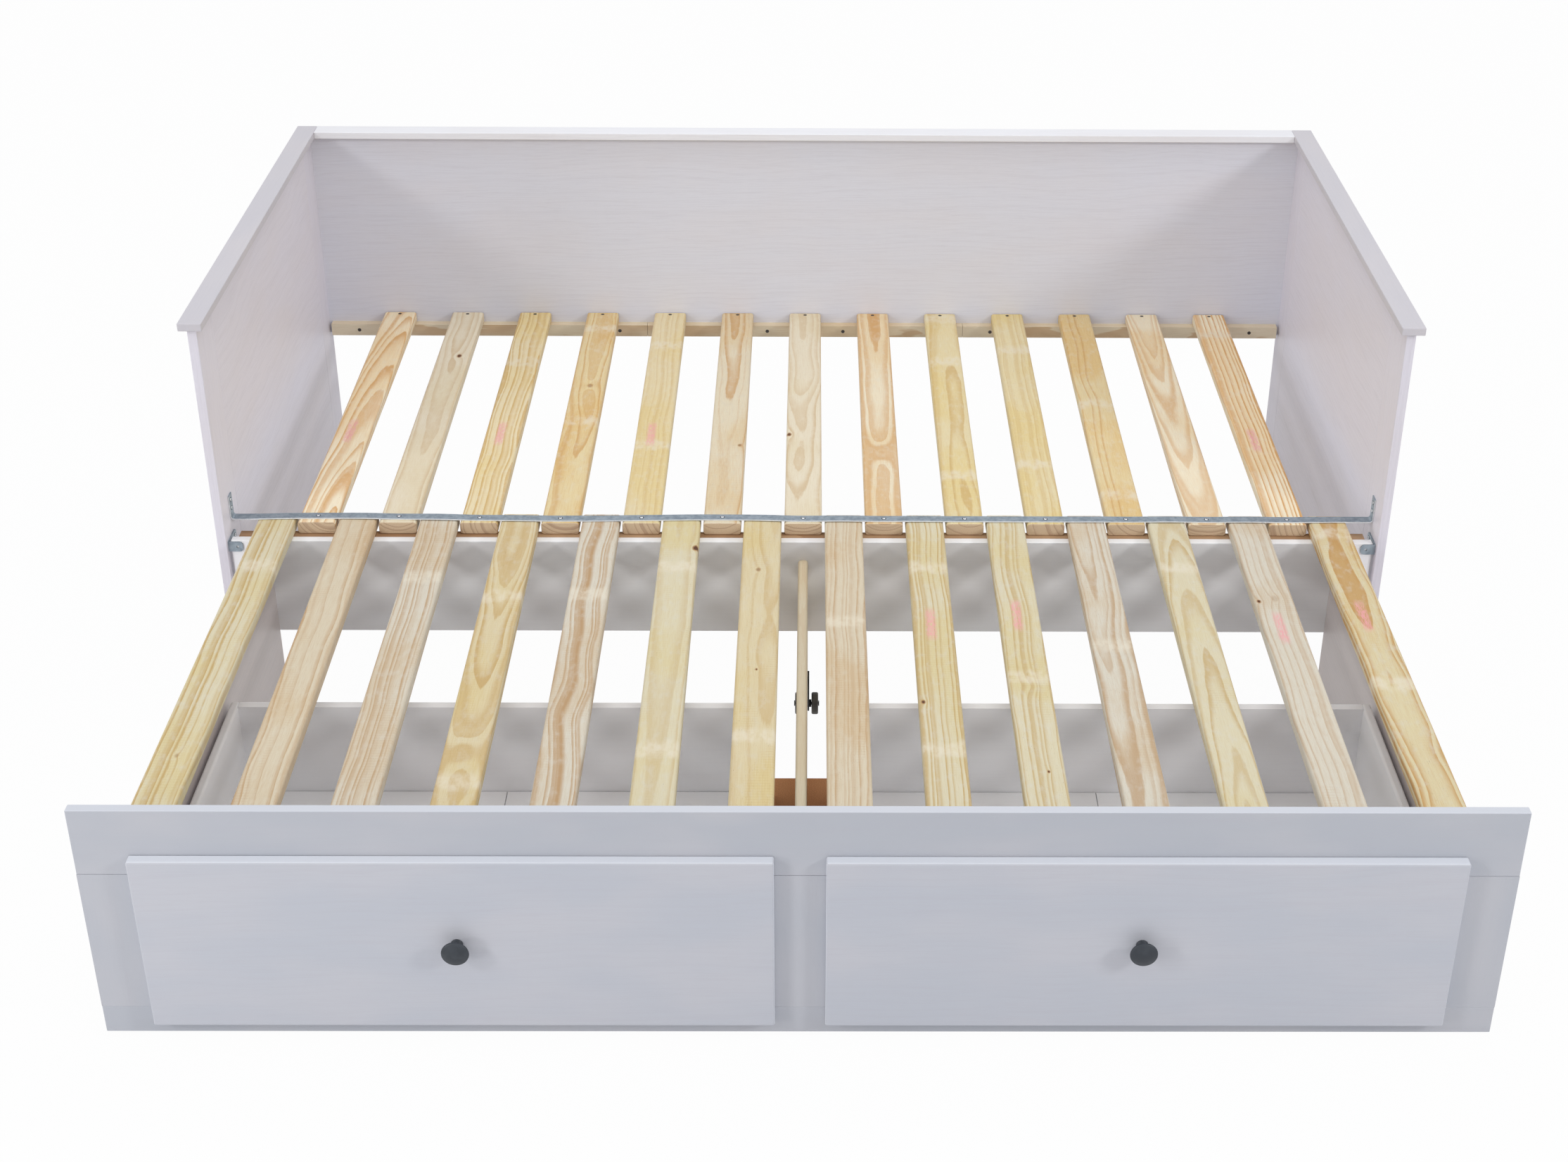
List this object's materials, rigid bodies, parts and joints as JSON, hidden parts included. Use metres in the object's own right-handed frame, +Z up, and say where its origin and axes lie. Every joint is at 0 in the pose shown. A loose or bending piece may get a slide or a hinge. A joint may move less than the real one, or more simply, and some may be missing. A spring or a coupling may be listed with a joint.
{
  "type": "trundle bed",
  "caption": "Day bed with panelled back and ends whose lower half pulls out on wheels to double the slatted deck and carries side-by-side drawers.",
  "frame": {"origin": "on the floor, under the middle of the whole bed as it stands pulled out", "axes": "+X along the bed to the right as seen from the drawers, +Y towards the back panel, +Z up"},
  "size_m": [2.062, 1.926, 0.761],
  "materials": {
    "glazed_board": "thin pale grey glaze, satin, faint grain",
    "drawer_board": "thin pale grey glaze, satin",
    "bare_pine": "planed, untreated",
    "pale_plywood": "planed, untreated",
    "hardboard": "untreated, matt",
    "galvanised_steel": "zinc plated, dull",
    "dark_steel": "blackened",
    "black_steel": "satin black",
    "anthracite_metal": "satin anthracite",
    "black_nylon": "matt"
  },
  "bodies": {
    "frame": {"left_end_panel": "glazed_board", "right_end_panel": "glazed_board", "left_cap": "glazed_board", "right_cap": "glazed_board", "back_cap": "glazed_board", "back_panel": "glazed_board", "rear_ledger": "bare_pine", "tie_bar": "galvanised_steel", "stop_brackets": "galvanised_steel", "dark_screws": "dark_steel", "zinc_screws": "galvanised_steel", "fixed_slat_01": "bare_pine", "fixed_slat_02": "bare_pine", "fixed_slat_03": "bare_pine", "fixed_slat_04": "bare_pine", "fixed_slat_05": "bare_pine", "fixed_slat_06": "bare_pine", "fixed_slat_07": "bare_pine", "fixed_slat_08": "bare_pine", "fixed_slat_09": "bare_pine", "fixed_slat_10": "bare_pine", "fixed_slat_11": "bare_pine", "fixed_slat_12": "bare_pine", "fixed_slat_13": "bare_pine"},
    "pull_out": {"front_top_rail": "glazed_board", "front_bottom_rail": "glazed_board", "front_stiles": "glazed_board", "rear_rail": "glazed_board", "slat_cleats": "bare_pine", "left_side_panel": "glazed_board", "right_side_panel": "glazed_board", "centre_board": "pale_plywood", "runner_plates": "hardboard", "wheel_brackets": "black_steel", "moving_slat_01": "bare_pine", "moving_slat_02": "bare_pine", "moving_slat_03": "bare_pine", "moving_slat_04": "bare_pine", "moving_slat_05": "bare_pine", "moving_slat_06": "bare_pine", "moving_slat_07": "bare_pine", "moving_slat_08": "bare_pine", "moving_slat_09": "bare_pine", "moving_slat_10": "bare_pine", "moving_slat_11": "bare_pine", "moving_slat_12": "bare_pine", "moving_slat_13": "bare_pine", "moving_slat_14": "bare_pine"},
    "left_drawer": {"left_drawer_front": "glazed_board", "left_drawer_box": "drawer_board", "left_knob": "anthracite_metal"},
    "right_drawer": {"right_drawer_front": "glazed_board", "right_drawer_box": "drawer_board", "right_knob": "anthracite_metal"},
    "left_rear_wheels_body": {"left_rear_wheels": "black_nylon"},
    "left_front_wheels_body": {"left_front_wheels": "black_nylon"},
    "centre_rear_wheels_body": {"centre_rear_wheels": "black_nylon"},
    "centre_front_wheels_body": {"centre_front_wheels": "black_nylon"},
    "right_rear_wheels_body": {"right_rear_wheels": "black_nylon"},
    "right_front_wheels_body": {"right_front_wheels": "black_nylon"}
  },
  "joints": [
    {"name": "push_in", "type": "slide", "parent": "frame", "child": "pull_out", "axis": [0, 1, 0], "range_m": [0, 0.8745]},
    {"name": "left_drawer_slide", "type": "slide", "parent": "pull_out", "child": "left_drawer", "axis": [0, -1, 0], "range_m": [0, 0.42]},
    {"name": "right_drawer_slide", "type": "slide", "parent": "pull_out", "child": "right_drawer", "axis": [0, -1, 0], "range_m": [0, 0.42]},
    {"name": "left_rear_wheel_spin", "type": "hinge", "parent": "pull_out", "child": "left_rear_wheels_body", "pos_m": [-0.9483, -0.041, 0.02], "axis": [1, 0, 0], "continuous": true},
    {"name": "left_front_wheel_spin", "type": "hinge", "parent": "pull_out", "child": "left_front_wheels_body", "pos_m": [-0.928, -0.84, 0.02], "axis": [1, 0, 0], "continuous": true},
    {"name": "centre_rear_wheel_spin", "type": "hinge", "parent": "pull_out", "child": "centre_rear_wheels_body", "pos_m": [0.0068, -0.041, 0.02], "axis": [1, 0, 0], "continuous": true},
    {"name": "centre_front_wheel_spin", "type": "hinge", "parent": "pull_out", "child": "centre_front_wheels_body", "pos_m": [0, -0.84, 0.02], "axis": [1, 0, 0], "continuous": true},
    {"name": "right_rear_wheel_spin", "type": "hinge", "parent": "pull_out", "child": "right_rear_wheels_body", "pos_m": [0.9483, -0.041, 0.02], "axis": [1, 0, 0], "continuous": true},
    {"name": "right_front_wheel_spin", "type": "hinge", "parent": "pull_out", "child": "right_front_wheels_body", "pos_m": [0.928, -0.84, 0.02], "axis": [1, 0, 0], "continuous": true}
  ]
}
